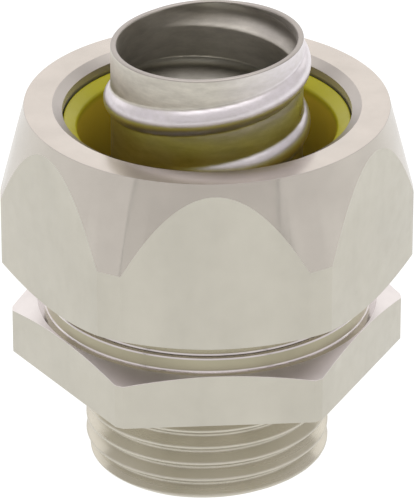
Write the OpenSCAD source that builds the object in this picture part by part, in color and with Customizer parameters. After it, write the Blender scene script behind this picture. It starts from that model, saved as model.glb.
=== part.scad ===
// Straight connector for flexible conduit.
// A turned hub carries a threaded spigot, a hexagon, a collar and a threaded neck.
// A compression nut screws over the neck, with a plastic sealing ring in its mouth.
// A pressed ferrule with a rolled helical bead stands in the hub's socket and enters the conduit.
// The origin is the centre of the spigot's end face, and +Z runs along the bore to the conduit.

/* [Spigot] */
// Outside diameter of the spigot's thread
spigot_d = 20; // [19:0.25:21]
// Length of the spigot, from its end face to the hexagon
spigot_len = 9.2; // [7:0.1:12]
// Chamfer at the spigot's end
spigot_chamfer = 0.35; // [0.2:0.05:1]
// Diameter of the wire bore through the hub
wire_bore_d = 15.2; // [14:0.2:16]

/* [Hub hexagon and collar] */
// Width of the hub's hexagon across its flats
hub_af = 28; // [27:0.25:30]
// How much is turned off the hexagon's sharp corners
hub_corner_cut = 0.2; // [0.1:0.05:0.6]
// Thickness of the hexagon
hub_hex_len = 4.5; // [3:0.25:7]
// Slope of the chamfer on the hexagon's upper corners
hub_chamfer_angle = 19; // [10:1:30]
// Diameter of the collar above the hexagon
collar_d = 26.6; // [26.2:0.1:27.2]
// Height of the collar
collar_len = 1.2; // [0.6:0.1:3]

/* [Threaded neck] */
// Outside diameter of the neck's thread
neck_d = 26; // [25.4:0.1:26.1]
// Length of the plain groove between the collar and the thread
groove_len = 1.3; // [0.8:0.1:2]
// Depth of that groove below the thread's crests
groove_depth = 0.9; // [0.5:0.1:1.1]
// Diameter of the socket that takes the conduit
socket_d = 21.6; // [21.5:0.1:22.2]
// Depth of the socket below the hub's mouth
socket_depth = 5.7; // [4.5:0.1:6.5]
// Chamfer at the mouth of the socket
socket_chamfer = 0.4; // [0.2:0.1:0.6]

/* [Compression nut] */
// Width of the nut across its flats
nut_af = 30; // [29.5:0.25:32]
// How much is turned off the nut's sharp corners
nut_corner_cut = 0.57; // [0.3:0.01:0.9]
// Height of the nut
nut_len = 14.5; // [13:0.5:18]
// How far the edge of the nut's upper face lies inside its flats
nut_face_inset = 0.25; // [0.1:0.05:0.6]
// Height of the cone that the corners are turned to
nut_cone_len = 7.8; // [5:0.2:9]
// Slope of the chamfer under the nut's corners
nut_foot_angle = 27; // [15:1:35]
// Turn of the nut's flats past the hub's flats, in degrees
nut_turn = -1.5; // [-30:0.5:30]
// Gap between the nut and the collar
nut_gap = 1.7; // [0.5:0.1:3]
// Diameter of the nut's mouth
nut_mouth_d = 23.3; // [22.6:0.1:23.5]
// Width of the chamfer round the mouth
mouth_chamfer_w = 0.8; // [0.4:0.1:1.2]
// Depth of the chamfer round the mouth
mouth_chamfer_h = 0.5; // [0.2:0.1:1]
// Length of the plain lip below that chamfer
lip_len = 0.6; // [0.4:0.1:1.2]
// Chamfer at the foot of the nut's thread
nut_entry_chamfer = 0.5; // [0.2:0.1:0.8]
// Free height between the hub's mouth and the shoulder inside the nut
shoulder_gap = 0.8; // [0.4:0.1:1.5]

/* [Sealing ring] */
// Outside diameter of the sealing ring
ring_d = 24.2; // [23.9:0.1:24.4]
// Inside diameter of the sealing ring
ring_bore_d = 20.9; // [20.4:0.1:21.4]
// Height of the sealing ring
ring_len = 7; // [5:0.1:7.5]
// Height of the taper on the ring's outside
ring_taper_len = 2.4; // [1.5:0.1:3]
// Drop of the ring's upper face from its rim to its bore
ring_dish = 0.7; // [0.3:0.1:1.2]

/* [Ferrule] */
// Outside diameter of the ferrule's sleeve
ferrule_d = 15.5; // [15:0.1:16.4]
// Thickness of the ferrule's sheet
ferrule_wall = 0.5; // [0.4:0.05:0.7]
// Height of the ferrule from its foot to the middle of its rim
ferrule_len = 19.6; // [18:0.2:22]
// Slope of the ferrule's rim, in degrees
rim_slope = 2.7; // [0:0.1:4]
// Direction of the rim's high side, in degrees from +X
rim_high_side = -5; // [-180:5:180]
// Outside diameter of the ferrule's foot
foot_d = 21.1; // [20.4:0.1:21.3]
// Height of the upturned edge round the foot
foot_edge_h = 1.6; // [1:0.1:2.5]

/* [Helical bead] */
// Height of one turn of the bead
bead_pitch = 4.4; // [4:0.1:5.5]
// How far the bead stands out of the sleeve
bead_h = 0.6; // [0.3:0.05:0.7]
// Width of the bead
bead_w = 2.2; // [1.8:0.1:2.8]
// Depth of the bead's middle below the rim's middle, on the +X side
bead_drop = 2.35; // [2.2:0.05:3.2]
// Turns of the bead below the +X side
bead_turns = 1.4; // [1:0.1:2.4]

/* [Clearances] */
// Radial clearance between the neck's thread and the nut's
thread_clear = 0.05; // [0.03:0.01:0.09]
// Clearance round the sealing ring in the nut
ring_clear = 0.1; // [0.05:0.05:0.2]
// Gap between the sealing ring and the hub's mouth
seat_gap = 0.1; // [0.05:0.05:0.3]

/* [Hidden] */
$fn = 96;
nickel = [0.78, 0.76, 0.71];
steel = [0.72, 0.70, 0.68];
yellow = [0.64, 0.62, 0.16];

// How far a turned end face stays inside the flats of its hexagon
face_setback = 0.1;
// Break of the edges round the ferrule's rim
rim_break = 0.1;
// Turn past the +X side at which the bead has run out towards the rim, and its fading at each end
bead_end = 120;
bead_fade = 60;
// Fullness of the bead's outline: 1 is a cosine, and less than 1 is rounder
bead_fullness = 0.7;
// Fineness of the ferrule's sheet: columns round it, and rows down its beaded stretch
ferrule_columns = 60;
bead_rows = 42;
// Overlap of shapes that are joined or cut through
lap = 1;

// Heights of the hub's steps
hex_z = spigot_len;
collar_z = hex_z + hub_hex_len;
collar_top = collar_z + collar_len;
// Heights of the nut, its lip and the ring below it
nut_z = collar_top + nut_gap;
nut_top = nut_z + nut_len;
lip_top = nut_top - mouth_chamfer_h;
lip_z = lip_top - lip_len;
ring_top = lip_z - ring_clear;
ring_z = ring_top - ring_len;
// Heights of the hub's mouth and of the socket's floor, where the ferrule stands
hub_top = ring_z - seat_gap;
socket_z = hub_top - socket_depth;
rim_z = socket_z + ferrule_len;

// Radius at the corners of a hexagon of width af across its flats
function corner_r(af) = af / 2 / cos(30);

// A hexagonal prism from height z, with a corner on +X
module hexagon(af, z, h) {
    translate([0, 0, z]) cylinder(r = corner_r(af), h = h, $fn = 6);
}

// The hub's hexagon, with its corners turned and chamfered on the upper side
module hub_hexagon() {
    face_r = hub_af / 2 - face_setback;
    turned_r = corner_r(hub_af) - hub_corner_cut;
    drop = (turned_r - face_r) * tan(hub_chamfer_angle);
    intersection() {
        hexagon(hub_af, hex_z, hub_hex_len);
        rotate_extrude() polygon([
            [0, hex_z - lap],
            [turned_r, hex_z - lap],
            [turned_r, collar_z - drop],
            [face_r, collar_z],
            [0, collar_z]
        ]);
    }
}

// The round outside of the hub: spigot, collar, groove and threaded neck
module hub_turning() {
    spigot_r = spigot_d / 2;
    neck_r = neck_d / 2;
    groove_r = neck_r - groove_depth;
    groove_top = collar_top + groove_len;
    rotate_extrude() polygon([
        [0, 0],
        [spigot_r - spigot_chamfer, 0],
        [spigot_r, spigot_chamfer],
        [spigot_r, hex_z + lap],
        [collar_d / 2, hex_z + lap],
        [collar_d / 2, collar_top],
        [groove_r, collar_top],
        [groove_r, groove_top - groove_depth / 2],
        [neck_r, groove_top],
        [neck_r, hub_top - socket_chamfer],
        [neck_r - socket_chamfer, hub_top],
        [0, hub_top]
    ]);
}

// The wire bore, with the conduit's socket above it
module hub_bore() {
    bore_r = wire_bore_d / 2;
    socket_r = socket_d / 2;
    rotate_extrude() polygon([
        [0, -lap],
        [bore_r, -lap],
        [bore_r, socket_z],
        [socket_r, socket_z],
        [socket_r, hub_top - socket_chamfer],
        [socket_r + socket_chamfer, hub_top],
        [socket_r + socket_chamfer, hub_top + lap],
        [0, hub_top + lap]
    ]);
}

module hub() {
    color(nickel) difference() {
        union() {
            hub_turning();
            hub_hexagon();
        }
        hub_bore();
    }
}

// The nut's outside: a hexagon turned to a long cone above and chamfered below
module nut_outside() {
    foot_r = nut_af / 2 - face_setback;
    turned_r = corner_r(nut_af) - nut_corner_cut;
    rise = (turned_r - foot_r) * tan(nut_foot_angle);
    intersection() {
        rotate([0, 0, nut_turn]) hexagon(nut_af, nut_z, nut_len);
        rotate_extrude() polygon([
            [0, nut_z],
            [foot_r, nut_z],
            [turned_r, nut_z + rise],
            [turned_r, nut_top - nut_cone_len],
            [nut_af / 2 - nut_face_inset, nut_top],
            [0, nut_top]
        ]);
    }
}

// The nut's inside: threaded bore, ring chamber, sealing cone, lip and mouth
module nut_inside() {
    thread_r = neck_d / 2 + thread_clear;
    chamber_r = ring_d / 2 + ring_clear;
    mouth_r = nut_mouth_d / 2;
    shoulder_z = hub_top + shoulder_gap;
    cone_z = lip_z - ring_taper_len;
    rotate_extrude() polygon([
        [0, nut_z - lap],
        [thread_r + nut_entry_chamfer, nut_z - lap],
        [thread_r + nut_entry_chamfer, nut_z],
        [thread_r, nut_z + nut_entry_chamfer],
        [thread_r, shoulder_z],
        [chamber_r, shoulder_z],
        [chamber_r, cone_z],
        [mouth_r, lip_z],
        [mouth_r, lip_top],
        [mouth_r + mouth_chamfer_w, nut_top],
        [mouth_r + mouth_chamfer_w, nut_top + lap],
        [0, nut_top + lap]
    ]);
}

module compression_nut() {
    color(nickel) difference() {
        nut_outside();
        nut_inside();
    }
}

// A tapered plastic ring with a dished upper face
module sealing_ring() {
    outer_r = ring_d / 2;
    inner_r = ring_bore_d / 2;
    rim_r = nut_mouth_d / 2 - ring_clear;
    color(yellow) rotate_extrude() polygon([
        [inner_r, ring_z],
        [outer_r, ring_z],
        [outer_r, ring_top - ring_taper_len],
        [rim_r, ring_top],
        [inner_r, ring_top - ring_dish]
    ]);
}

// Height at angle a of a point that would lie at height z if the rim were square to the bore
function sloped(r, z, a) =
    z + r * tan(rim_slope) * cos(a - rim_high_side) * (z - socket_z) / ferrule_len;

// Share of the bead's full height at angle a, counted on through its turns
function faded(a) =
    let (
        up = (bead_end - a) / bead_fade,
        down = (a + bead_turns * 360) / bead_fade
    )
    max(0, min(1, up, down));

// Outline of the bead across its width, for t from -1 to 1: a round crest with steep flanks
function bead_outline(t) = abs(t) < 1 ? pow(cos(90 * t), bead_fullness) : 0;

// How far the sheet is pushed out at angle a and height z
function bead_push(a, z) =
    bead_h * max([
        for (turn = [-3:1])
            let (
                run = a + 360 * turn,
                middle = rim_z - bead_drop + bead_pitch * run / 360
            )
            faded(run) * bead_outline((z - middle) / (bead_w / 2))
    ]);

// The sheet's point at angle a, from the point of its half section at radius r and height z
function sheet_point(r, z, a) =
    let (at_r = r + bead_push(a, z))
    [at_r * cos(a), at_r * sin(a), sloped(r, z, a)];

// Half section of the ferrule without its bead: down the outside, round the foot, up the inside
sleeve_r = ferrule_d / 2;
inside_r = sleeve_r - ferrule_wall;
foot_r = foot_d / 2;
foot_top = socket_z + ferrule_wall;
row_top = rim_z - rim_break;
bead_depth = bead_drop + bead_turns * bead_pitch + bead_w / 2;
rows = [for (i = [0:bead_rows]) row_top - bead_depth * i / bead_rows];
section = concat(
    [[sleeve_r - rim_break, rim_z]],
    [for (z = rows) [sleeve_r, z]],
    [
        [sleeve_r, foot_top + ferrule_wall],
        [sleeve_r + ferrule_wall / 3, foot_top + ferrule_wall / 3],
        [sleeve_r + ferrule_wall, foot_top],
        [foot_r - ferrule_wall, foot_top],
        [foot_r - ferrule_wall, socket_z + foot_edge_h],
        [foot_r, socket_z + foot_edge_h],
        [foot_r, socket_z + ferrule_wall / 2],
        [foot_r - ferrule_wall / 2, socket_z],
        [inside_r + ferrule_wall, socket_z],
        [inside_r + ferrule_wall / 3, socket_z + ferrule_wall / 3],
        [inside_r, socket_z + ferrule_wall]
    ],
    [for (i = [bead_rows:-1:0]) [inside_r, rows[i]]],
    [[inside_r + rim_break, rim_z]]
);

// A thin sleeve with a rolled helical bead and a cupped foot
module ferrule() {
    n = len(section);
    m = ferrule_columns;
    points = [
        for (j = [0:m - 1])
            for (p = section) sheet_point(p[0], p[1], 360 * j / m)
    ];
    faces = [
        for (j = [0:m - 1])
            for (i = [0:n - 1])
                let (
                    a = j * n + i,
                    b = j * n + (i + 1) % n,
                    c = ((j + 1) % m) * n + (i + 1) % n,
                    d = ((j + 1) % m) * n + i
                )
                each [[a, c, b], [a, d, c]]
    ];
    color(steel) polyhedron(points = points, faces = faces);
}

hub();
compression_nut();
sealing_ring();
ferrule();
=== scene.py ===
"""A straight conduit connector: hub, compression nut, sealing ring and ferrule, finished for a studio view."""

import math

import bmesh
import bpy
from mathutils import Matrix, Vector


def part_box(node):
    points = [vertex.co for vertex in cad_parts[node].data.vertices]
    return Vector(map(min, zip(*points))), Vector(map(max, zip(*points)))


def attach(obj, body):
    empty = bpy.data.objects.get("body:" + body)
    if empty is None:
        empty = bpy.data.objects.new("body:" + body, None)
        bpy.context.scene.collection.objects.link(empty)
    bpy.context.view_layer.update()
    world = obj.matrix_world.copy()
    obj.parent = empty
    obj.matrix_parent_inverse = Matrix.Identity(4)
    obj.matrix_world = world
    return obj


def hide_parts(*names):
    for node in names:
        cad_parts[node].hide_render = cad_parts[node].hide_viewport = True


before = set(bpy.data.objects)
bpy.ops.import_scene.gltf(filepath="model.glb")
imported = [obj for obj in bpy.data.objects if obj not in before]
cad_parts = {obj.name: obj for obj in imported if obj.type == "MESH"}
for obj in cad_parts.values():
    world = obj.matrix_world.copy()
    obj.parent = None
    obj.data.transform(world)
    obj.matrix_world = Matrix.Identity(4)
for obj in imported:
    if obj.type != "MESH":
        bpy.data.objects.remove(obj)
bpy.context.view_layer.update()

bl_info = {
    "name": "Conduit connector",
    "version": (1, 0, 0),
    "blender": (4, 5, 0),
    "location": "3D View > Sidebar > Connector",
    "description": "Builds the pieces of a conduit connector and its studio",
    "category": "Object",
}

MM = 0.001
# Segments round a turned piece, and round one turn of a thread
ROUND = 144
# Points closer than this are one point, in metres
SAME = 2e-6
# How far a cutting shape reaches past the face that it cuts
LAP = 1.0 * MM


def length(name, what, millimetres):
    """A size that a user can change, in metres, from a default in millimetres."""
    return bpy.props.FloatProperty(
        name=name, description=what, default=millimetres * MM, unit="LENGTH", precision=5
    )


def angle(name, what, degrees):
    """An angle that a user can change."""
    return bpy.props.FloatProperty(
        name=name, description=what, default=math.radians(degrees), unit="ROTATION"
    )


def colour(name, what, red, green, blue):
    """A colour that a user can change."""
    return bpy.props.FloatVectorProperty(
        name=name, description=what, default=(red, green, blue), subtype="COLOR", min=0.0, max=1.0
    )


def share(name, what, default):
    """A number from 0 to 1 that a user can change."""
    return bpy.props.FloatProperty(name=name, description=what, default=default, min=0.0, max=1.0)


class HubSizes(bpy.types.PropertyGroup):
    """Sizes of the hub"""

    spigot_d: length("Spigot diameter", "Outside diameter of the spigot's thread", 20.0)
    spigot_len: length("Spigot length", "From the end face to the hexagon", 9.2)
    spigot_chamfer: length("Spigot chamfer", "Chamfer at the spigot's end", 0.35)
    bore_d: length("Wire bore", "Diameter of the wire bore", 15.2)
    hex_af: length("Hexagon", "Width across the flats", 28.0)
    corner_cut: length("Corners", "How much is turned off the sharp corners", 0.2)
    hex_len: length("Hexagon thickness", "Height of the hexagon", 4.5)
    chamfer_angle: angle("Chamfer slope", "Slope of the chamfer on the hexagon", 19.0)
    collar_d: length("Collar diameter", "Diameter of the collar", 26.6)
    collar_len: length("Collar height", "Height of the collar", 1.2)
    neck_d: length("Neck diameter", "Outside diameter of the neck's thread", 26.0)
    neck_groove: length("Groove length", "Plain groove between collar and thread", 1.3)
    groove_depth: length("Groove depth", "Depth of the groove below the crests", 0.3)
    socket_d: length("Socket diameter", "Diameter of the conduit's socket", 21.6)
    socket_depth: length("Socket depth", "Depth of the socket", 5.7)
    socket_chamfer: length("Mouth chamfer", "Chamfer at the mouth", 0.4)
    pitch: length("Thread pitch", "Pitch of both threads", 1.5)
    thread_depth: length("Thread depth", "Depth of the threads", 0.85)
    spigot_crest: length("Thread start", "Height of a crest on the +X side", 0.79)
    run_out: length("Run-out", "Length over which a thread runs out", 0.5)
    edge: length("Edge", "Width of the broken edges", 0.1)
    ease_w: length("Eased edge width", "Width of the steep eases on the collar and its feet", 0.06)
    ease_h: length("Eased edge height", "Height of those eases", 0.12)


class NutSizes(bpy.types.PropertyGroup):
    """Sizes of the compression nut"""

    af: length("Hexagon", "Width across the flats", 30.0)
    corner_cut: length("Corners", "How much is turned off the sharp corners", 0.57)
    height: length("Height", "Height of the nut", 14.5)
    face_inset: length("Upper face", "How far the upper face lies inside the flats", 0.25)
    cone_len: length("Cone height", "Height of the cone on the corners", 7.8)
    foot_angle: angle("Foot slope", "Slope of the chamfer under the corners", 27.0)
    turn: angle("Turn", "Turn of the nut's flats past the hub's", -1.5)
    mouth_d: length("Mouth", "Diameter of the mouth", 23.3)
    mouth_w: length("Mouth chamfer width", "Width of the chamfer round the mouth", 0.8)
    mouth_h: length("Mouth chamfer depth", "Depth of the chamfer round the mouth", 0.5)
    lip_len: length("Lip", "Length of the plain lip", 0.6)
    entry: length("Entry chamfer", "Chamfer at the foot of the thread", 0.5)
    shoulder_gap: length("Shoulder gap", "Free height above the hub's mouth", 0.8)
    clear: length("Thread clearance", "Radial clearance of the thread", 0.05)
    edge: length("Edge", "Width of the broken edges", 0.14)


class RingSizes(bpy.types.PropertyGroup):
    """Sizes of the sealing ring"""

    outer_d: length("Outside", "Outside diameter", 24.2)
    bore_d: length("Inside", "Inside diameter", 20.9)
    taper_len: length("Taper", "Height of the outside taper", 2.4)
    dish: length("Dish", "Drop of the upper face to the bore", 0.7)
    clear: length("Clearance", "Clearance in the nut", 0.1)
    edge: length("Edge", "Radius of the moulded edges", 0.22)


class FerruleSizes(bpy.types.PropertyGroup):
    """Sizes of the ferrule"""

    sleeve_d: length("Sleeve", "Outside diameter of the sleeve", 15.5)
    wall: length("Sheet", "Thickness of the sheet", 0.5)
    height: length("Height", "Height to the middle of the rim", 19.6)
    rim_slope: angle("Rim slope", "Slope of the rim", 2.7)
    rim_high: angle("Rim high side", "Direction of the rim's high side", -5.0)
    foot_d: length("Foot", "Outside diameter of the foot", 21.1)
    foot_edge: length("Foot edge", "Height of the upturned edge", 1.6)
    pitch: length("Bead pitch", "Height of one turn of the bead", 5.05)
    bead_h: length("Bead height", "How far the bead stands out", 0.6)
    bead_w: length("Bead width", "Width of the bead", 2.2)
    bead_drop: length("Bead drop", "Depth of the bead below the rim on the +X side", 2.2)
    bead_turns: bpy.props.FloatProperty(
        name="Bead turns", description="Turns of the bead below the +X side", default=1.34
    )
    bead_end: angle("Bead end", "Turn at which the bead has run out", 120.0)
    bead_fade: angle("Bead fade", "Turn over which the bead fades", 60.0)
    fullness: share("Bead fullness", "1 is a cosine outline, less is rounder", 0.7)


class Finishes(bpy.types.PropertyGroup):
    """Colours of the surfaces"""

    nickel: colour("Nickel", "Plated brass", 0.50, 0.478, 0.412)
    # Painted light: a lighter, more khaki copy of the nickel stands in for the light that the hub's turned
    # surfaces reflect
    hub_nickel: colour("Hub", "Plating on the hub's turned surfaces", 0.57, 0.54, 0.455)
    # Painted shade: a darker, olive copy of the nickel stands in for the shade between the hexagon and the nut
    collar_nickel: colour("Collar", "Plating between the hexagon and the nut", 0.42, 0.39, 0.28)
    nut_nickel: colour("Nut", "Plating on the nut's turned surfaces", 0.525, 0.49, 0.438)
    nut_face: colour("Nut's face", "Plating on the nut's upper face", 0.525, 0.48, 0.43)
    # Painted highlight: a lighter, lilac copy of the nickel makes the hexagon's chamfer bright
    hub_chamfer: colour("Hub's chamfer", "Plating on the hexagon's chamfer", 0.71, 0.67, 0.65)
    # Painted highlight: a lighter copy of the nickel gives the bright lines on the collar's edges, and the nut's
    # foot
    chamfer: colour("Chamfer", "Plating on the faces between hub and nut", 0.74, 0.70, 0.69)
    # Painted highlight: a lighter, lilac copy of the sheet, on the bead and towards +X on a band under the rim
    bead: colour("Bead", "Plated sheet where rolling has polished it", 0.79, 0.75, 0.78)
    sheet: colour("Ferrule", "Plated steel sheet", 0.60, 0.57, 0.50)
    cut_edge: colour("Cut edges", "Edge of the sheet, and the chamfer of the nut's mouth", 0.40, 0.37, 0.34)
    plastic: colour("Ring", "Yellow plastic", 0.42, 0.39, 0.008)
    plastic_bore: colour("Ring's bore", "Plastic inside the ring, where light shines through", 0.70, 0.53, 0.05)
    floor: colour("Floor", "Lit studio floor", 0.12, 0.12, 0.12)
    card: colour("Card", "Grey card behind the camera", 0.42, 0.40, 0.38)
    nickel_rough: share("Nickel roughness", "Roughness of the drawn flats", 0.30)
    turned_rough: share("Turned roughness", "Roughness of the turned surfaces", 0.27)
    sheet_rough: share("Ferrule roughness", "Roughness of the sheet's outside", 0.32)
    inside_rough: share("Inside roughness", "Roughness of the sheet's inside", 0.46)
    plastic_rough: share("Ring roughness", "Roughness of the plastic", 0.32)


class StudioSettings(bpy.types.PropertyGroup):
    """Camera and lights"""

    distance: length("Camera distance", "From the aim point to the camera", 411.6)
    elevation: angle("Elevation", "Height of the camera above the horizontal", 27.29)
    heading: angle("Heading", "Turn of the camera from the front", -4.0)
    aim_z: length("Aim height", "Height of the aim point above the floor", 17.79)
    focal: bpy.props.FloatProperty(
        name="Lens", description="Focal length in millimetres on a 36 mm side", default=363.4
    )


def deselect():
    """Leave object mode with nothing selected."""
    if bpy.context.object is not None and bpy.context.object.mode != "OBJECT":
        bpy.ops.object.mode_set(mode="OBJECT")
    bpy.ops.object.select_all(action="DESELECT")


def activate(piece):
    """Make one object the only selected and active one."""
    deselect()
    piece.select_set(True)
    bpy.context.view_layer.objects.active = piece


def apply_modifier(piece, kind, **settings):
    """Add a modifier with its settings, and apply it."""
    activate(piece)
    modifier = piece.modifiers.new(kind.lower(), kind)
    for key, value in settings.items():
        setattr(modifier, key, value)
    bpy.ops.object.modifier_apply(modifier=modifier.name)


def closed_section(name, points):
    """A closed outline in the XZ plane, from (radius, height) points."""
    deselect()
    bpy.ops.mesh.primitive_circle_add(vertices=len(points), radius=1.0, fill_type="NOTHING")
    piece = bpy.context.object
    piece.name = name
    for vertex, (r, z) in zip(piece.data.vertices, points):
        vertex.co = (r, 0.0, z)
    return piece


def tidy_normals(piece):
    """Merge points that coincide and turn all faces outwards."""
    activate(piece)
    bpy.ops.object.mode_set(mode="EDIT")
    bpy.ops.mesh.select_all(action="SELECT")
    bpy.ops.mesh.remove_doubles(threshold=SAME)
    bpy.ops.mesh.normals_make_consistent(inside=False)
    bpy.ops.object.mode_set(mode="OBJECT")


def turned(name, points, steps=ROUND):
    """A ring turned from a closed section."""
    piece = closed_section(name, points)
    bpy.ops.object.mode_set(mode="EDIT")
    bpy.ops.mesh.select_all(action="SELECT")
    bpy.ops.mesh.spin(
        steps=steps, angle=math.tau, center=(0, 0, 0), axis=(0, 0, 1), use_auto_merge=False
    )
    tidy_normals(piece)
    return piece


def corner_r(af):
    """Radius at the corners of a hexagon, from its width across the flats."""
    return af / 2 / math.cos(math.radians(30))


def hexagon(name, af, z, height, turn=0.0):
    """A hexagonal prism with a corner on +X, turned on by an angle."""
    deselect()
    bpy.ops.mesh.primitive_cylinder_add(
        vertices=6,
        radius=corner_r(af),
        depth=height,
        location=(0, 0, z + height / 2),
        rotation=(0, 0, math.radians(30) + turn),
    )
    piece = bpy.context.object
    piece.name = name
    bpy.ops.object.transform_apply(location=True, rotation=True, scale=True)
    return piece


def combine(piece, other, operation):
    """Join, cut or intersect a piece with another, which is used up."""
    apply_modifier(piece, "BOOLEAN", operation=operation, object=other, solver="EXACT")
    mesh = other.data
    bpy.data.objects.remove(other)
    bpy.data.meshes.remove(mesh)


def break_edges(piece, width, least_angle=25.0, segments=2):
    """Bevel the sharp edges."""
    apply_modifier(
        piece, "BEVEL", width=width, segments=segments, limit_method="ANGLE",
        angle_limit=math.radians(least_angle), use_clamp_overlap=True, miter_outer="MITER_ARC",
    )


def radius(point):
    """Distance of a point from the part's axis."""
    return math.hypot(point.x, point.y)


def add_rows(piece, at_r, cuts, longer_than=4.0 * MM):
    """Divide the long edges along a cylinder's side, which gives it rows that a thread can be cut in."""
    activate(piece)
    bpy.ops.object.mode_set(mode="EDIT")
    bpy.ops.mesh.select_mode(type="EDGE")
    bpy.ops.mesh.select_all(action="DESELECT")
    bpy.ops.object.mode_set(mode="OBJECT")
    points = piece.data.vertices
    for edge in piece.data.edges:
        low, high = (points[i].co for i in edge.vertices)
        on_side = max(abs(radius(low) - at_r), abs(radius(high) - at_r)) < 0.01 * MM
        edge.select = on_side and abs(low.z - high.z) > longer_than
    bpy.ops.object.mode_set(mode="EDIT")
    bpy.ops.mesh.subdivide(number_cuts=cuts)
    bpy.ops.object.mode_set(mode="OBJECT")


def groove(turns, depth):
    """Depth of a V thread at a number of turns past its crest, with a narrow crest and root."""
    across = abs(turns % 1 - 0.5) * 2
    part = min(1.0, max(0.0, (across - 0.14) / 0.74))
    return depth * (1 - part)


def cut_thread(piece, at_r, depth, pitch, crest_z, low, high, run_out, side):
    """Push a thread into a cylinder. side is 1 for a male thread and -1 for a female one."""
    for vertex in piece.data.vertices:
        here = vertex.co
        r = radius(here)
        if low <= here.z <= high and abs(r - at_r) < depth * 0.75:
            turns = (here.z - crest_z) / pitch - math.atan2(here.y, here.x) / math.tau
            fade = min(1.0, (high - here.z) / run_out)
            cut_r = at_r - side * groove(turns, depth) * fade
            new_r = min(r, cut_r) if side > 0 else max(r, cut_r)
            here.x *= new_r / r
            here.y *= new_r / r


def clear_sharp(piece, at_r, depth, low, high):
    """Shade a thread's flanks, crests and roots as one smooth surface."""
    points = piece.data.vertices
    for edge in piece.data.edges:
        ends = [points[i].co for i in edge.vertices]
        if all(low < end.z < high and abs(radius(end) - at_r) < depth * 1.1 for end in ends):
            edge.use_edge_sharp = False


def smooth(piece, least_angle=30.0):
    """Smooth shading, with edges sharper than the angle kept."""
    activate(piece)
    bpy.ops.object.shade_smooth_by_angle(angle=math.radians(least_angle))


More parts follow.
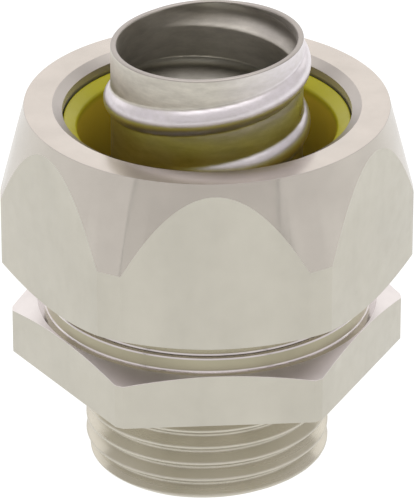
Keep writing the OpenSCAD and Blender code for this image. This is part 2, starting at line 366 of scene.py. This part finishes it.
class Nodes:
    """A material's node tree, with short ways to add and join nodes."""

    def __init__(self, name):
        self.material = bpy.data.materials.new(name)
        self.material.use_nodes = True
        self.tree = self.material.node_tree
        self.shader = self.tree.nodes["Principled BSDF"]
        self.place = self.add("ShaderNodeTexCoord").outputs["Object"]

    def add(self, kind, **settings):
        """A node, with its settings."""
        node = self.tree.nodes.new(kind)
        for key, value in settings.items():
            setattr(node, key, value)
        return node

    def join(self, output, socket):
        """A link from an output to a socket."""
        self.tree.links.new(output, socket)

    def maths(self, operation, first, second=None):
        """A Math node on one or two values or outputs."""
        node = self.add("ShaderNodeMath", operation=operation)
        for socket, value in zip(node.inputs, (first, second)):
            if isinstance(value, (int, float)):
                socket.default_value = value
            elif value is not None:
                self.join(value, socket)
        return node.outputs[0]

    def radius_and_height(self):
        """A vector of the radius from the axis, the height and zero."""
        split = self.add("ShaderNodeSeparateXYZ")
        self.join(self.place, split.inputs[0])
        squares = self.maths(
            "ADD", self.maths("POWER", split.outputs[0], 2.0), self.maths("POWER", split.outputs[1], 2.0)
        )
        joined = self.add("ShaderNodeCombineXYZ")
        self.join(self.maths("SQRT", squares), joined.inputs[0])
        self.join(split.outputs[2], joined.inputs[1])
        return joined.outputs[0]

    def round_axis(self):
        """The direction round the part's axis, along the lathe marks."""
        split = self.add("ShaderNodeSeparateXYZ")
        self.join(self.place, split.inputs[0])
        joined = self.add("ShaderNodeCombineXYZ")
        self.join(self.maths("MULTIPLY", split.outputs[1], -1.0), joined.inputs[0])
        self.join(split.outputs[0], joined.inputs[1])
        node = self.add(
            "ShaderNodeVectorTransform", vector_type="VECTOR", convert_from="OBJECT", convert_to="WORLD"
        )
        self.join(joined.outputs[0], node.inputs[0])
        return node.outputs[0]

    def height(self):
        """The height above the floor."""
        split = self.add("ShaderNodeSeparateXYZ")
        self.join(self.place, split.inputs[0])
        return split.outputs[2]

    def across(self):
        """The place along X, from left to right."""
        split = self.add("ShaderNodeSeparateXYZ")
        self.join(self.place, split.inputs[0])
        return split.outputs[0]

    def from_axis(self):
        """The distance from the part's axis."""
        split = self.add("ShaderNodeSeparateXYZ")
        self.join(self.radius_and_height(), split.inputs[0])
        return split.outputs[0]

    def noise(self, vector, scale, stretch=(1, 1, 1), detail=3.0, rough=0.55):
        """A noise pattern's value over a stretched vector."""
        mapping = self.add("ShaderNodeMapping")
        mapping.inputs["Scale"].default_value = stretch
        self.join(vector, mapping.inputs["Vector"])
        node = self.add("ShaderNodeTexNoise")
        node.inputs["Scale"].default_value = scale
        node.inputs["Detail"].default_value = detail
        node.inputs["Roughness"].default_value = rough
        self.join(mapping.outputs[0], node.inputs["Vector"])
        return node.outputs["Fac"]

    def spread(self, value, low, high, from_low=0.3, from_high=0.7):
        """A value moved from one range to another."""
        node = self.add("ShaderNodeMapRange")
        self.join(value, node.inputs["Value"])
        node.inputs["From Min"].default_value = from_low
        node.inputs["From Max"].default_value = from_high
        node.inputs["To Min"].default_value = low
        node.inputs["To Max"].default_value = high
        return node.outputs[0]

    def mix(self, value, first, second):
        """A colour between two, each a colour or an output, by a value."""
        node = self.add("ShaderNodeMix", data_type="RGBA")
        self.join(value, node.inputs[0])
        for socket, given in zip(node.inputs[6:8], (first, second)):
            if isinstance(given, tuple):
                socket.default_value = (*given, 1)
            else:
                self.join(given, socket)
        return node.outputs[2]

    def scale(self, rgb, factor):
        """A colour made darker by a value."""
        node = self.add("ShaderNodeVectorMath", operation="SCALE")
        self.join(rgb, node.inputs[0])
        self.join(factor, node.inputs["Scale"])
        return node.outputs[0]

    def bump(self, height, distance, strength=1.0, below=None):
        """A bump from a height, on top of another bump."""
        node = self.add("ShaderNodeBump")
        node.inputs["Strength"].default_value = strength
        node.inputs["Distance"].default_value = distance
        self.join(height, node.inputs["Height"])
        if below is not None:
            self.join(below, node.inputs["Normal"])
        return node.outputs[0]

    def set(self, socket, value):
        """A constant on the shader's own socket."""
        self.shader.inputs[socket].default_value = value

    def feed(self, output, socket):
        """A pattern on one of the shader's sockets."""
        self.join(output, self.shader.inputs[socket])


def shaded(rgb, factor):
    """A colour made lighter or darker."""
    return tuple(min(1.0, c * factor) for c in rgb)


def turned_nickel(name, colour_name, rougher=0.0):
    """Nickel over lathe marks that run round the axis, rougher or finer than the rest."""
    looks = bpy.context.scene.connector_finishes
    base = getattr(looks, colour_name)
    n = Nodes(name)
    ring_place = n.radius_and_height()
    marks = n.noise(ring_place, 2600.0, detail=4.0)
    bands = n.noise(ring_place, 420.0, detail=2.0)
    cloud = n.noise(n.place, 260.0, detail=5.0)
    n.set("Metallic", 1.0)
    n.feed(n.mix(n.spread(cloud, 0.0, 1.0), shaded(base, 0.95), shaded(base, 1.04)), "Base Color")
    rough = looks.turned_rough + rougher
    n.feed(n.spread(bands, rough - 0.02, rough + 0.03), "Roughness")
    n.feed(n.bump(marks, 0.003 * MM), "Normal")
    n.set("Anisotropic", 1.0)
    n.set("Anisotropic Rotation", 0.25)
    n.feed(n.round_axis(), "Tangent")
    return n.material


def drawn_nickel(name):
    """Nickel over the long marks of drawn hexagonal bar."""
    looks = bpy.context.scene.connector_finishes
    n = Nodes(name)
    marks = n.noise(n.place, 2200.0, stretch=(1, 1, 0.03), detail=3.0)
    cloud = n.noise(n.place, 190.0, stretch=(1, 1, 0.6), detail=5.0)
    pits = n.noise(n.place, 900.0, detail=2.0)
    n.set("Metallic", 1.0)
    n.feed(n.mix(n.spread(cloud, 0.0, 1.0), shaded(looks.nickel, 0.94), shaded(looks.nickel, 1.05)), "Base Color")
    n.feed(n.spread(pits, looks.nickel_rough - 0.02, looks.nickel_rough + 0.08), "Roughness")
    fine = n.bump(marks, 0.003 * MM)
    n.feed(n.bump(cloud, 0.04 * MM, 0.5, fine), "Normal")
    return n.material


def cut_nickel(name, colour_name, rough):
    """Nickel over a smoothly faced surface."""
    base = getattr(bpy.context.scene.connector_finishes, colour_name)
    n = Nodes(name)
    cloud = n.noise(n.place, 300.0, detail=4.0)
    n.set("Metallic", 1.0)
    n.feed(n.mix(n.spread(cloud, 0.0, 1.0), shaded(base, 0.94), shaded(base, 1.04)), "Base Color")
    n.set("Roughness", rough)
    return n.material


def pressed_sheet(name, rough, shade, plain_r, rim_z, low_shade):
    """Plated sheet, mottled where it is plain, with a painted highlight on the bead and towards +X on a band
    under the rim, and painted shade lower down.
    """
    looks = bpy.context.scene.connector_finishes
    n = Nodes(name)
    scuffs = n.noise(n.place, 420.0, stretch=(1, 1, 3.5), detail=5.0, rough=0.65)
    fine_scuffs = n.noise(n.place, 1500.0, stretch=(1, 1, 2.0), detail=4.0, rough=0.6)
    lines = n.noise(n.radius_and_height(), 1900.0, detail=4.0)
    cloud = n.noise(n.place, 240.0, detail=4.0)
    dull, light = shaded(looks.sheet, 0.78 * shade), shaded(looks.sheet, 1.10 * shade)
    plain = n.mix(n.spread(scuffs, 0.0, 1.0), dull, light)
    # Painted highlight on the bead, and more of it towards +X on a band 2 to 3 mm under the rim
    bead_highlight = n.mix(n.spread(cloud, 0.0, 1.0), shaded(looks.bead, 0.90 * shade), shaded(looks.bead, shade))
    on_bead = n.spread(n.from_axis(), 0.0, 1.0, plain_r + 0.02 * MM, plain_r + 0.12 * MM)
    highlight_to_right = n.spread(n.across(), 0.0, 1.0, 0.0, plain_r * 0.8)
    on_band = n.spread(n.height(), 0.0, 1.0, rim_z - 3 * MM, rim_z - 2 * MM)
    sheet_with_highlight = n.mix(n.maths("MAXIMUM", on_bead, n.maths("MULTIPLY", highlight_to_right, on_band)), plain, bead_highlight)
    mottled = n.mix(n.spread(fine_scuffs, 0.3, 0.0), sheet_with_highlight, dull)
    # Painted shade: the sheet is darker lower down, by low_shade, most of all inside
    low = n.spread(n.height(), low_shade, 1.0, rim_z - 6.5 * MM, rim_z - 5 * MM)
    n.set("Metallic", 1.0)
    n.feed(n.scale(mottled, low), "Base Color")
    n.feed(n.spread(cloud, rough - 0.05, rough + 0.07), "Roughness")
    fine = n.bump(lines, 0.006 * MM)
    n.feed(n.bump(scuffs, 0.02 * MM, 0.6, fine), "Normal")
    return n.material


def ring_plastic(bore_z, deep):
    """Half-gloss moulded plastic, which glows deeper inside the bore."""
    looks = bpy.context.scene.connector_finishes
    n = Nodes("ring_plastic")
    cloud = n.noise(n.place, 150.0, detail=3.0)
    grain = n.noise(n.place, 1500.0, detail=2.0)
    n.set("Metallic", 0.0)
    n.set("IOR", 1.5)
    n.set("Specular IOR Level", 0.25)
    outside = n.mix(n.spread(cloud, 0.0, 1.0), shaded(looks.plastic, 0.9), shaded(looks.plastic, 1.08))
    inside = n.spread(n.height(), 1.0, 0.0, bore_z - deep, bore_z)
    n.feed(n.mix(inside, outside, tuple(looks.plastic_bore)), "Base Color")
    n.feed(n.spread(grain, looks.plastic_rough - 0.04, looks.plastic_rough + 0.05), "Roughness")
    n.feed(n.bump(grain, 0.004 * MM), "Normal")
    return n.material


def floor_paper():
    """Matt pale paper with a faint grain."""
    looks = bpy.context.scene.connector_finishes
    n = Nodes("floor_paper")
    grain = n.noise(n.place, 60.0, detail=3.0)
    n.feed(n.mix(n.spread(grain, 0.0, 1.0), shaded(looks.floor, 0.995), tuple(looks.floor)), "Base Color")
    n.set("Roughness", 0.95)
    n.set("Specular IOR Level", 0.1)
    n.set("Emission Color", (1, 1, 1, 1))
    n.set("Emission Strength", 1.0)
    return n.material


def grey_card(name, shade):
    """Matt grey card, which darkens what the pieces reflect behind the camera."""
    looks = bpy.context.scene.connector_finishes
    n = Nodes(name)
    n.set("Base Color", (*shaded(looks.card, shade), 1))
    n.set("Roughness", 1.0)
    return n.material


def finish(piece, materials, choose):
    """Give each face one of the materials, by its middle and its direction."""
    piece.data.materials.clear()
    for material in materials:
        piece.data.materials.append(material)
    for face in piece.data.polygons:
        face.material_index = choose(face.center, face.normal)


def levels():
    """Heights that the pieces share, in metres."""
    hub = bpy.context.scene.connector_hub
    nut = bpy.context.scene.connector_nut
    ring = bpy.context.scene.connector_ring
    z = {}
    z["hub_top"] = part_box("hub")[1][2]
    z["socket"] = z["hub_top"] - hub.socket_depth
    z["hexagon"] = hub.spigot_len
    z["collar"] = hub.spigot_len + hub.hex_len
    z["collar_top"] = z["collar"] + hub.collar_len
    z["nut"], z["nut_top"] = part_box("compression_nut")[0][2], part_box("compression_nut")[1][2]
    z["lip_top"] = z["nut_top"] - nut.mouth_h
    z["lip"] = z["lip_top"] - nut.lip_len
    z["ring"], z["ring_top"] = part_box("sealing_ring")[0][2], z["lip"] - ring.clear
    return z


class OBJECT_OT_connector_hub(bpy.types.Operator):
    """Make the hub, with its two threads cut"""

    bl_idname = "object.connector_hub"
    bl_label = "Hub"

    def execute(self, context):
        s = context.scene.connector_hub
        z = levels()
        bore_r, socket_r = s.bore_d / 2, s.socket_d / 2
        spigot_r, neck_r, collar_r = s.spigot_d / 2, s.neck_d / 2, s.collar_d / 2
        groove_r = neck_r - s.groove_depth
        groove_top = z["collar_top"] + s.neck_groove
        piece = turned("hub_turned", [
            (bore_r, 0), (spigot_r - s.spigot_chamfer, 0), (spigot_r, s.spigot_chamfer),
            (spigot_r, z["hexagon"] + LAP), (collar_r + s.ease_w, z["hexagon"] + LAP),
            (collar_r + s.ease_w, z["collar"]), (collar_r, z["collar"] + s.ease_h),
            (collar_r, z["collar_top"] - s.ease_h), (collar_r - s.ease_w, z["collar_top"]),
            (groove_r + s.ease_w, z["collar_top"]), (groove_r, z["collar_top"] + s.ease_h),
            (groove_r, groove_top - s.groove_depth / 2), (neck_r, groove_top),
            (neck_r, z["hub_top"] - s.socket_chamfer), (neck_r - s.socket_chamfer, z["hub_top"]),
            (socket_r + s.socket_chamfer, z["hub_top"]), (socket_r, z["hub_top"] - s.socket_chamfer),
            (socket_r, z["socket"]), (bore_r, z["socket"]),
        ])
        face_r = s.hex_af / 2 - 0.1 * MM
        turned_r = corner_r(s.hex_af) - s.corner_cut
        drop = (turned_r - face_r) * math.tan(s.chamfer_angle)
        hexagonal = hexagon("hub_hexagon", s.hex_af, z["hexagon"], s.hex_len)
        envelope = turned("hub_envelope", [
            (bore_r + LAP, z["hexagon"] - LAP), (turned_r, z["hexagon"] - LAP), (turned_r, z["collar"] - drop),
            (face_r, z["collar"]), (bore_r + LAP, z["collar"]),
        ])
        combine(hexagonal, envelope, "INTERSECT")
        combine(piece, hexagonal, "UNION")
        break_edges(piece, s.edge)
        add_rows(piece, spigot_r, 1)
        add_rows(piece, spigot_r, 80)
        add_rows(piece, neck_r, 60)

        def zone(middle, normal):
            if not z["hexagon"] < middle.z < groove_top or radius(middle) < groove_r - s.edge:
                return 0
            # The hexagon's chamfer gets the painted highlight
            if normal.z > 0.2 and radius(middle) > face_r - s.edge:
                return 4
            # Other upward faces by the collar get the painted highlight of the edges
            if normal.z > 0.2:
                return 2
            # Upright faces of the collar and its groove get the nickel with painted shade
            if middle.z > z["collar"]:
                return 3
            return 1 if abs(normal.z) < 0.01 and radius(middle) > face_r - s.edge else 0

        finish(piece, (
            turned_nickel("turned_hub_nickel", "hub_nickel"), drawn_nickel("drawn_hub_nickel"),
            cut_nickel("collar_edge_nickel", "chamfer", 0.14),
            turned_nickel("turned_collar_nickel", "collar_nickel"),
            cut_nickel("hub_chamfer_nickel", "hub_chamfer", 0.34),
        ), zone)
        smooth(piece, 10.0)
        threads = (
            (spigot_r, s.spigot_crest, -LAP, z["hexagon"] - s.edge),
            (neck_r, s.spigot_crest, groove_top - s.edge, z["hub_top"] + LAP),
        )
        for at_r, crest_z, low, high in threads:
            cut_thread(piece, at_r, s.thread_depth, s.pitch, crest_z, low, high, s.run_out, 1)
            clear_sharp(piece, at_r, s.thread_depth, low, high)
        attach(piece, "hub_set")
        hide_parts("hub")
        return {"FINISHED"}


class OBJECT_OT_connector_nut(bpy.types.Operator):
    """Make the compression nut, with its thread cut"""

    bl_idname = "object.connector_nut"
    bl_label = "Compression nut"

    def execute(self, context):
        s = context.scene.connector_nut
        hub = context.scene.connector_hub
        ring = context.scene.connector_ring
        z = levels()
        face_r = s.af / 2 - s.face_inset
        foot_r = s.af / 2 - 0.1 * MM
        turned_r = corner_r(s.af) - s.corner_cut
        rise = (turned_r - foot_r) * math.tan(s.foot_angle)
        thread_r = hub.neck_d / 2 + s.clear
        chamber_r = ring.outer_d / 2 + ring.clear
        mouth_r = s.mouth_d / 2
        shoulder = z["hub_top"] + s.shoulder_gap
        piece = hexagon("nut_turned", s.af, z["nut"], s.height, s.turn)
        envelope = turned("nut_envelope", [
            (thread_r + s.entry, z["nut"]), (foot_r, z["nut"]), (turned_r, z["nut"] + rise),
            (turned_r, z["nut_top"] - s.cone_len), (face_r, z["nut_top"]),
            (mouth_r + s.mouth_w, z["nut_top"]), (mouth_r, z["lip_top"]), (mouth_r, z["lip"]),
            (chamber_r, z["lip"] - ring.taper_len), (chamber_r, shoulder), (thread_r, shoulder),
            (thread_r, z["nut"] + s.entry),
        ])
        combine(piece, envelope, "INTERSECT")
        break_edges(piece, s.edge)
        add_rows(piece, thread_r, 60)

        def zone(middle, normal):
            # The chamfer under the nut's corners gets the painted highlight of the edges
            if normal.z < -0.3 and middle.z < z["nut"] + rise:
                return 2
            if normal.z > 0.95 and middle.z > z["lip_top"]:
                return 3
            if normal.z > 0.5 and middle.z > z["lip_top"]:
                return 4
            if 0.2 < normal.z < 0.3 and middle.z > z["nut_top"] - s.cone_len:
                return 5
            return 1 if abs(normal.z) < 0.01 and radius(middle) > foot_r - s.edge else 0

        finish(piece, (
            turned_nickel("turned_nut_nickel", "nut_nickel"), drawn_nickel("drawn_nut_nickel"),
            cut_nickel("nut_foot_nickel", "chamfer", 0.2), cut_nickel("nut_face_nickel", "nut_face", 0.2),
            cut_nickel("nut_mouth_nickel", "cut_edge", 0.3),
            turned_nickel("nut_cone_nickel", "nut_nickel", -0.07),
        ), zone)
        smooth(piece, 10.0)
        depth = hub.thread_depth * 0.9
        cut_thread(
            piece, thread_r, depth, hub.pitch, hub.spigot_crest, z["nut"] + s.entry, shoulder, hub.run_out, -1
        )
        clear_sharp(piece, thread_r, depth, z["nut"] + s.entry, shoulder)
        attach(piece, "nut")
        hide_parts("compression_nut")
        return {"FINISHED"}


class OBJECT_OT_connector_ring(bpy.types.Operator):
    """Make the sealing ring"""

    bl_idname = "object.connector_ring"
    bl_label = "Sealing ring"

    def execute(self, context):
        s = context.scene.connector_ring
        nut = context.scene.connector_nut
        z = levels()
        outer_r, inner_r = s.outer_d / 2, s.bore_d / 2
        piece = turned("ring_moulded", [
            (inner_r, z["ring"]), (outer_r, z["ring"]), (outer_r, z["ring_top"] - s.taper_len),
            (nut.mouth_d / 2 - s.clear, z["ring_top"]), (inner_r, z["ring_top"] - s.dish),
        ])
        break_edges(piece, s.edge, 10.0, 4)
        piece.data.materials.append(ring_plastic(z["ring_top"] - s.dish, s.dish))
        smooth(piece)
        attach(piece, "ring_carrier")
        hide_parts("sealing_ring")
        return {"FINISHED"}


class OBJECT_OT_connector_ferrule(bpy.types.Operator):
    """Make the ferrule, with its rolled bead"""

    bl_idname = "object.connector_ferrule"
    bl_label = "Ferrule"
    rows = 76

    def bead_push(self, s, rim_z, heading, z):
        """How far the sheet is pushed out at an angle and a height."""
        best = 0.0
        for turn in (-3, -2, -1, 0, 1):
            run = heading + turn * math.tau
            middle = rim_z - s.bead_drop + s.pitch * run / math.tau
            across = abs(z - middle) / (s.bead_w / 2)
            if across < 1:
                up = (s.bead_end - run) / s.bead_fade
                down = (run + s.bead_turns * math.tau) / s.bead_fade
                outline = math.cos(math.pi / 2 * across) ** s.fullness
                best = max(best, min(1.0, up, down) * outline)
        return s.bead_h * best

    def execute(self, context):
        s = context.scene.connector_ferrule
        foot_z = levels()["socket"]
        rim_z = foot_z + s.height
        sleeve_r = s.sleeve_d / 2
        inside_r = sleeve_r - s.wall
        foot_r = s.foot_d / 2
        foot_top = foot_z + s.wall
        depth = s.bead_drop + s.bead_turns * s.pitch + s.bead_w / 2
        eased = s.wall * 0.2
        nowhere_r = 3 * sleeve_r
        heights = [rim_z - eased - depth * i / self.rows for i in range(self.rows + 1)]
        rim = [(inside_r + eased, rim_z), (sleeve_r - eased, rim_z)]
        outside = [(sleeve_r, z) for z in heights]
        foot = [
            (sleeve_r, foot_top + s.wall), (sleeve_r + s.wall / 3, foot_top + s.wall / 3),
            (sleeve_r + s.wall, foot_top), (foot_r - s.wall, foot_top),
            (foot_r - s.wall, foot_z + s.foot_edge), (foot_r, foot_z + s.foot_edge),
            (foot_r, foot_z + s.wall / 2), (foot_r - s.wall / 2, foot_z), (inside_r + s.wall, foot_z),
            (inside_r + s.wall / 3, foot_z + s.wall / 3), (inside_r, foot_z + s.wall),
        ]
        inside = [(inside_r, z) for z in reversed(heights)]
        piece = turned("ferrule_pressed", rim + outside + foot + inside, 120)
        for vertex in piece.data.vertices:
            r = math.hypot(vertex.co.x, vertex.co.y)
            heading = math.atan2(vertex.co.y, vertex.co.x)
            share_up = (vertex.co.z - foot_z) / s.height
            slope = r * math.tan(s.rim_slope) * math.cos(heading - s.rim_high)
            pushed = r + self.bead_push(s, rim_z, heading, vertex.co.z)
            vertex.co = (
                pushed * math.cos(heading), pushed * math.sin(heading), vertex.co.z + slope * share_up
            )
        apply_modifier(piece, "SUBSURF", levels=1, render_levels=1)
        looks = context.scene.connector_finishes

        def zone(middle, normal):
            heading = math.atan2(middle.y, middle.x)
            slope = radius(middle) * math.tan(s.rim_slope) * math.cos(heading - s.rim_high)
            if normal.z > 0.3 and middle.z - slope > rim_z - s.wall:
                return 2
            return 1 if normal.x * middle.x + normal.y * middle.y < -0.3 * radius(middle) else 0

        finish(piece, (
            # The last numbers are the painted shade lower down, outside and inside
            pressed_sheet("sheet_outside", looks.sheet_rough, 1.0, sleeve_r, rim_z, 0.85),
            pressed_sheet("sheet_inside", looks.inside_rough, 1.0, nowhere_r, rim_z, 0.55),
            cut_nickel("sheet_edge", "cut_edge", 0.4),
        ), zone)
        smooth(piece, 60.0)
        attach(piece, "hub_set")
        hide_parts("ferrule")
        return {"FINISHED"}


def panel(name, centre, size, turn):
    """A flat panel of the studio, turned and moved into place."""
    deselect()
    bpy.ops.mesh.primitive_plane_add(size=1.0, location=centre, rotation=turn)
    piece = bpy.context.object
    piece.name = name
    piece.scale = (*size, 1)
    bpy.ops.object.transform_apply(location=True, rotation=True, scale=True)
    return piece


def area_light(name, place, target, size, power, tint=(1, 1, 1)):
    """A soft rectangular light aimed at a point."""
    deselect()
    bpy.ops.object.light_add(type="AREA", location=place)
    light = bpy.context.object
    light.name = name
    light.data.shape = "RECTANGLE"
    light.data.size, light.data.size_y = size
    light.data.energy = power
    light.data.color = tint
    light.rotation_euler = (Vector(target) - Vector(place)).to_track_quat("-Z", "Y").to_euler()
    return light


class OBJECT_OT_connector_studio(bpy.types.Operator):
    """Make the floor, the lights and the camera"""

    bl_idname = "object.connector_studio"
    bl_label = "Studio"

    def execute(self, context):
        s = context.scene.connector_studio
        floor = panel("studio_floor", (0, 0, 0), (6.0, 6.0), (0, 0, 0))
        floor.data.materials.append(floor_paper())
        cards = (
            ("studio_card", (0, -0.62, 0.06), (1.06, 0.12), 1.0),
            ("studio_post_left", (-0.55, -0.61, 0.2), (0.035, 0.4), 0.3),
            ("studio_post_right", (0.55, -0.61, 0.2), (0.035, 0.4), 0.3),
        )
        facing = Matrix.Rotation(s.heading, 3, "Z")
        for name, centre, size, shade in cards:
            card = panel(name, facing @ Vector(centre), size, (math.radians(90), 0, s.heading))
            card.data.materials.append(grey_card(name, shade))
            card.visible_camera = False
        middle = (0, 0, 18 * MM)
        area_light("top_light", (0, 0, 0.8), middle, (1.0, 1.0), 3.2)
        area_light("back_light", (0, 0.6, 0.34), middle, (2.0, 0.42), 1.43)
        world = bpy.data.worlds.new("studio_world")
        context.scene.world = world
        world.use_nodes = True
        sky = world.node_tree.nodes["Background"]
        sky.inputs["Color"].default_value = (1.0, 0.965, 0.97, 1)
        sky.inputs["Strength"].default_value = 0.8
        aim = Vector((0, 0, s.aim_z))
        flat = s.distance * math.cos(s.elevation)
        place = aim + Vector((
            flat * math.sin(s.heading), -flat * math.cos(s.heading), s.distance * math.sin(s.elevation)
        ))
        bpy.ops.object.camera_add(location=place)
        camera = context.object
        camera.name = "studio_camera"
        camera.rotation_euler = (aim - place).to_track_quat("-Z", "Y").to_euler()
        camera.data.lens = s.focal
        camera.data.sensor_width = 36.0
        camera.data.clip_start = 0.01
        context.scene.camera = camera
        context.scene.view_settings.view_transform = "Standard"
        return {"FINISHED"}


class VIEW3D_PT_connector(bpy.types.Panel):
    """The steps of the connector, in order"""

    bl_label = "Conduit connector"
    bl_space_type = "VIEW_3D"
    bl_region_type = "UI"
    bl_category = "Connector"

    def draw(self, context):
        for step in STEPS:
            self.layout.operator(step.bl_idname)


STEPS = (
    OBJECT_OT_connector_studio,
    OBJECT_OT_connector_hub,
    OBJECT_OT_connector_nut,
    OBJECT_OT_connector_ring,
    OBJECT_OT_connector_ferrule,
)
GROUPS = {
    "connector_hub": HubSizes,
    "connector_nut": NutSizes,
    "connector_ring": RingSizes,
    "connector_ferrule": FerruleSizes,
    "connector_finishes": Finishes,
    "connector_studio": StudioSettings,
}


def register():
    """Register the settings, the operators and the panel."""
    for name, group in GROUPS.items():
        bpy.utils.register_class(group)
        setattr(bpy.types.Scene, name, bpy.props.PointerProperty(type=group))
    for step in STEPS:
        bpy.utils.register_class(step)
    bpy.utils.register_class(VIEW3D_PT_connector)


def unregister():
    """Remove the panel, the operators and the settings."""
    bpy.utils.unregister_class(VIEW3D_PT_connector)
    for step in reversed(STEPS):
        bpy.utils.unregister_class(step)
    for name, group in reversed(GROUPS.items()):
        delattr(bpy.types.Scene, name)
        bpy.utils.unregister_class(group)


def main():
    register()
    bpy.ops.object.connector_studio()
    bpy.ops.object.connector_hub()
    bpy.ops.object.connector_nut()
    bpy.ops.object.connector_ring()
    bpy.ops.object.connector_ferrule()


if __name__ == "__main__":
    main()
